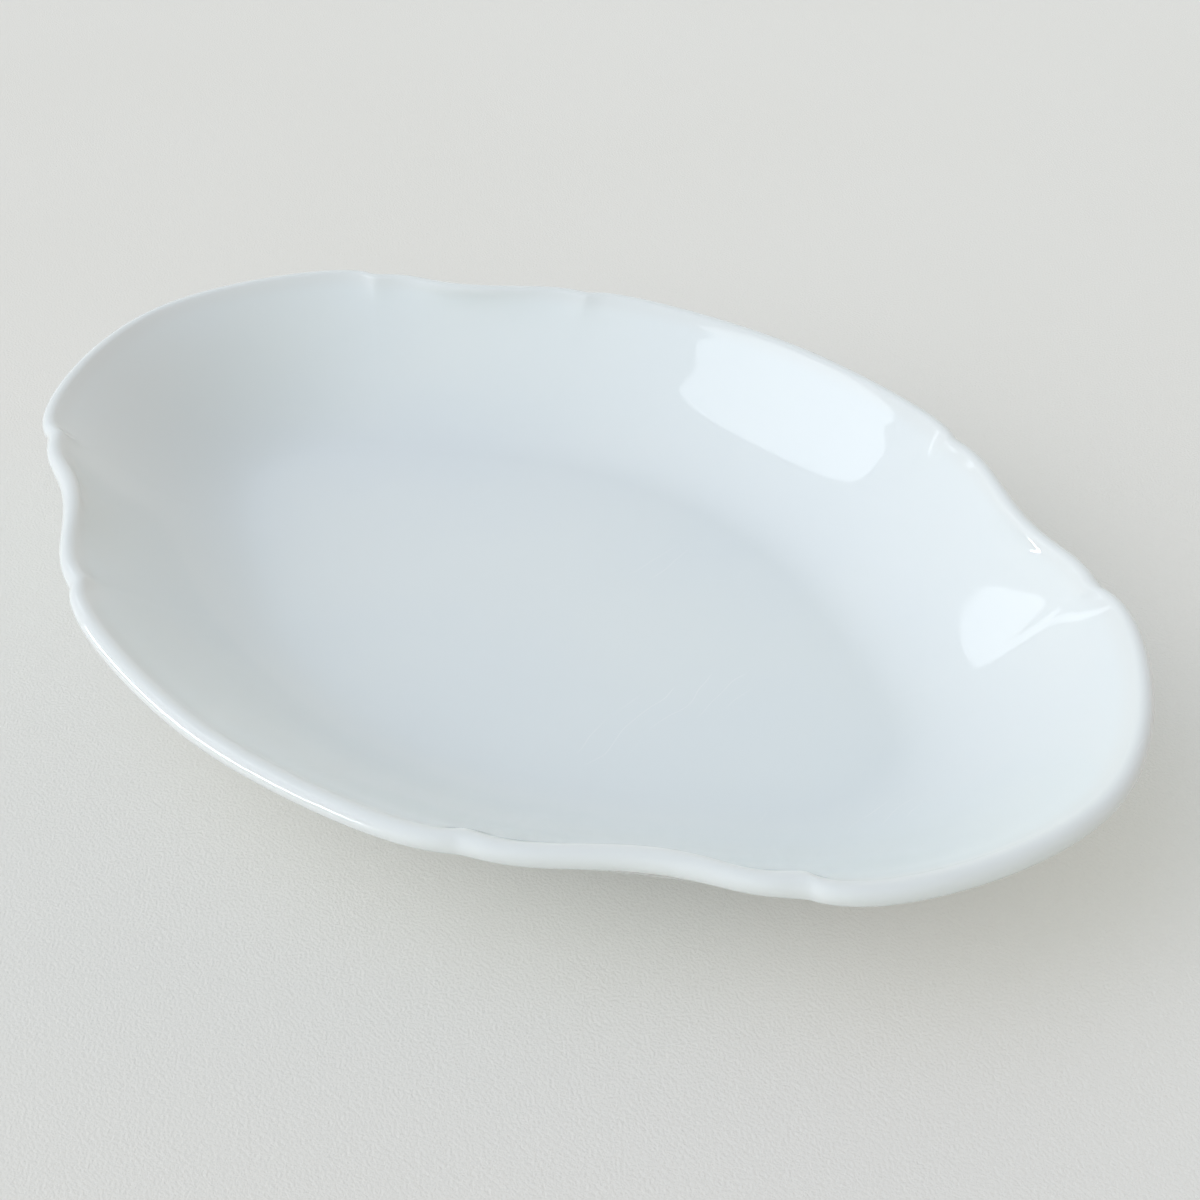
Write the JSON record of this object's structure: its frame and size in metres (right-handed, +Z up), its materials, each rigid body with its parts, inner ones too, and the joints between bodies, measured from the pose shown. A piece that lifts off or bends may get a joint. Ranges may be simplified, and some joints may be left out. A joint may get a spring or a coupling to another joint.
{
  "type": "oblong serving dish",
  "caption": "Shallow oblong porcelain serving dish with a flat oval well, a smooth flaring wall, a scalloped rolled lip with small notches, and an oval foot ring.",
  "frame": {"origin": "middle of the plane that the foot ring's tread stands on, under the centre of the well", "axes": "+X along the dish's length, +Y across its width, +Z up out of the well"},
  "size_m": [0.24, 0.164, 0.033],
  "materials": {
    "white_glaze": "cool white porcelain under a smooth clear glossy glaze",
    "bare_tread": "glazed sides with a bare, finely ground tread"
  },
  "bodies": {
    "root": {"dish_body": "white_glaze", "foot_ring": "bare_tread"}
  },
  "joints": []
}
